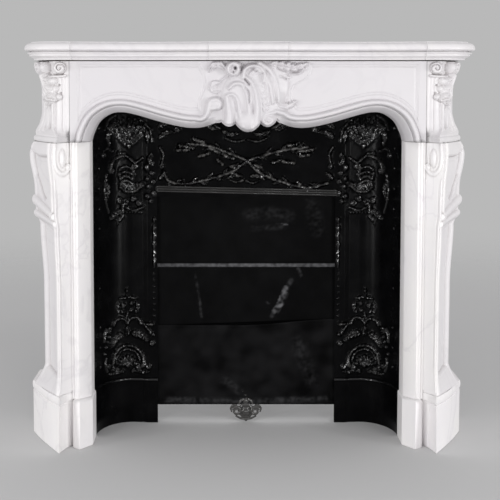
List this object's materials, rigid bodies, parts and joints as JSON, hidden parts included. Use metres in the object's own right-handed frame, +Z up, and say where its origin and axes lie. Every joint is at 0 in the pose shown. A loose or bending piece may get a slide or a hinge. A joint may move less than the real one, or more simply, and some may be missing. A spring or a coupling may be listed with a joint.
{
  "type": "fireplace mantel",
  "caption": "carved white marble fireplace mantel with serpentine shelf, shell cartouche, S-scroll consoles and a black cast-iron insert whose sheet curtain slides up behind the lintel",
  "frame": {"origin": "on the floor, at the middle of the width and of the depth over all", "axes": "+X to the right seen from the room, +Y from the room to the wall, +Z up"},
  "size_m": [1.222, 0.345, 1.085],
  "materials": {
    "white_marble": "honed white marble with faint grey veins",
    "black_cast_iron": "black-leaded, soft sheen",
    "black_sheet_iron": "blackened sheet, worn and scratched"
  },
  "bodies": {
    "mantel": {"mantel_shelf": "white_marble", "frieze": "white_marble", "left_corner_block": "white_marble", "right_corner_block": "white_marble", "left_console": "white_marble", "right_console": "white_marble", "left_console_plinth": "white_marble", "right_console_plinth": "white_marble", "left_jamb": "white_marble", "right_jamb": "white_marble", "left_jamb_plinth": "white_marble", "right_jamb_plinth": "white_marble", "left_side_slab": "white_marble", "right_side_slab": "white_marble", "left_iron_casting": "black_cast_iron", "right_iron_casting": "black_cast_iron", "iron_lintel": "black_cast_iron", "left_curtain_guide": "black_cast_iron", "right_curtain_guide": "black_cast_iron"},
    "lower_curtain": {"bottom_slat": "black_sheet_iron", "curtain_pull": "black_cast_iron"},
    "middle_curtain": {"middle_slat": "black_sheet_iron"},
    "upper_curtain": {"top_slat": "black_sheet_iron"}
  },
  "joints": [
    {"name": "curtain_rise", "type": "slide", "parent": "mantel", "child": "lower_curtain", "axis": [0, 0, 1], "range_m": [0, 0.585]},
    {"name": "middle_rise", "type": "slide", "parent": "mantel", "child": "middle_curtain", "axis": [0, 0, 1], "range_m": [0, 0.38318]},
    {"name": "upper_rise", "type": "slide", "parent": "mantel", "child": "upper_curtain", "axis": [0, 0, 1], "range_m": [0, 0.20709]}
  ],
  "couplings": [
    {"joint": "middle_rise", "follows": "curtain_rise", "ratio": 0.655},
    {"joint": "upper_rise", "follows": "curtain_rise", "ratio": 0.354}
  ]
}
